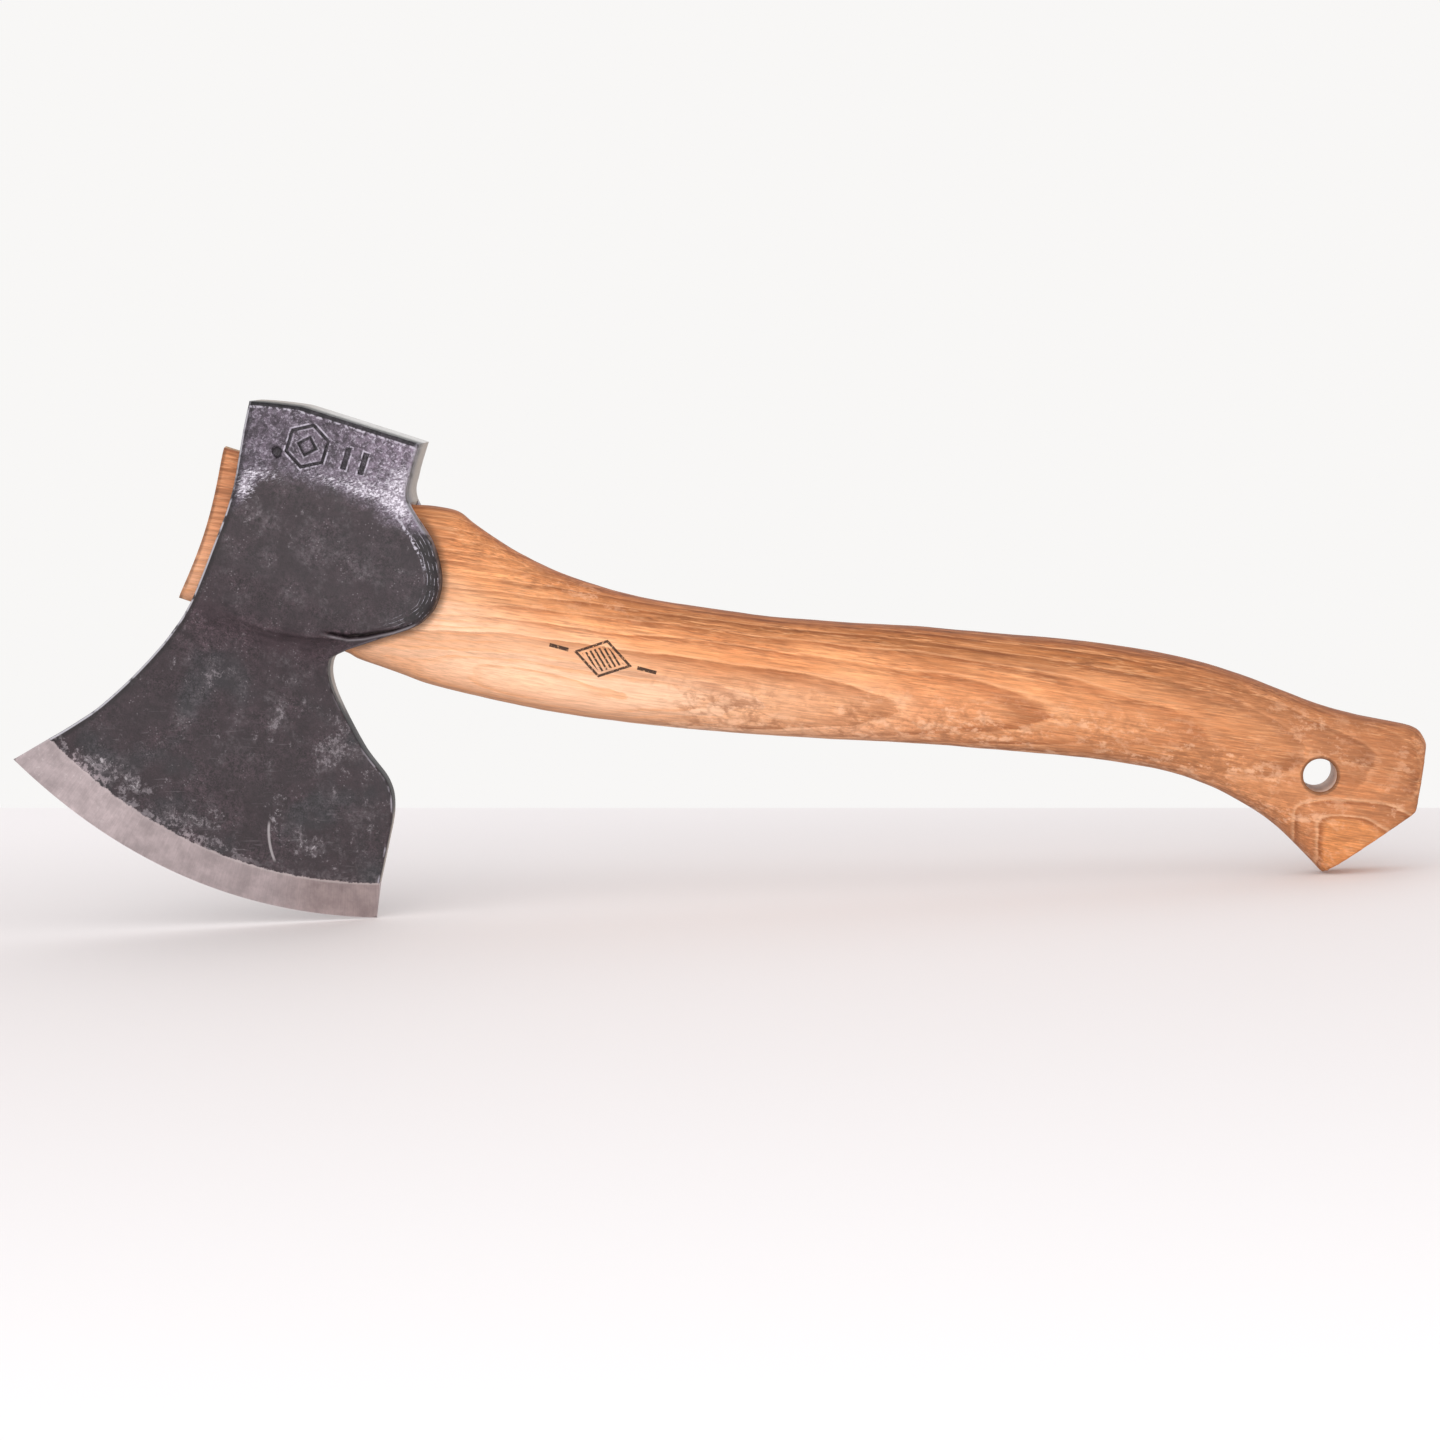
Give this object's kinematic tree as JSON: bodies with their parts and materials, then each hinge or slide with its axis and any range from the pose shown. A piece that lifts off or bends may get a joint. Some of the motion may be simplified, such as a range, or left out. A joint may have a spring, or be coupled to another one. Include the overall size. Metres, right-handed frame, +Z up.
{
  "type": "carving hatchet",
  "caption": "Carving hatchet with a bearded forged steel head, side lugs and a square poll, on a curved hickory handle with a hanging hole in its knob.",
  "frame": {"origin": "on the floor plane, under the middle of the tool's bounding box", "axes": "+X from the cutting edge's toe to the knob of the handle, +Y across the blade, +Z up; the tool stands on the heel of its bit and the tip of its knob"},
  "size_m": [0.4076, 0.029, 0.1516],
  "materials": {
    "forged_steel": "black forge scale, with a satin ground bevel along the edge",
    "hickory": "oiled, satin",
    "wedge_wood": "sawn and oiled",
    "wedge_steel": "bare pressed steel"
  },
  "bodies": {
    "root": {"head": "forged_steel", "handle": "hickory", "wooden_wedge": "wedge_wood", "steel_wedge": "wedge_steel"}
  },
  "joints": []
}
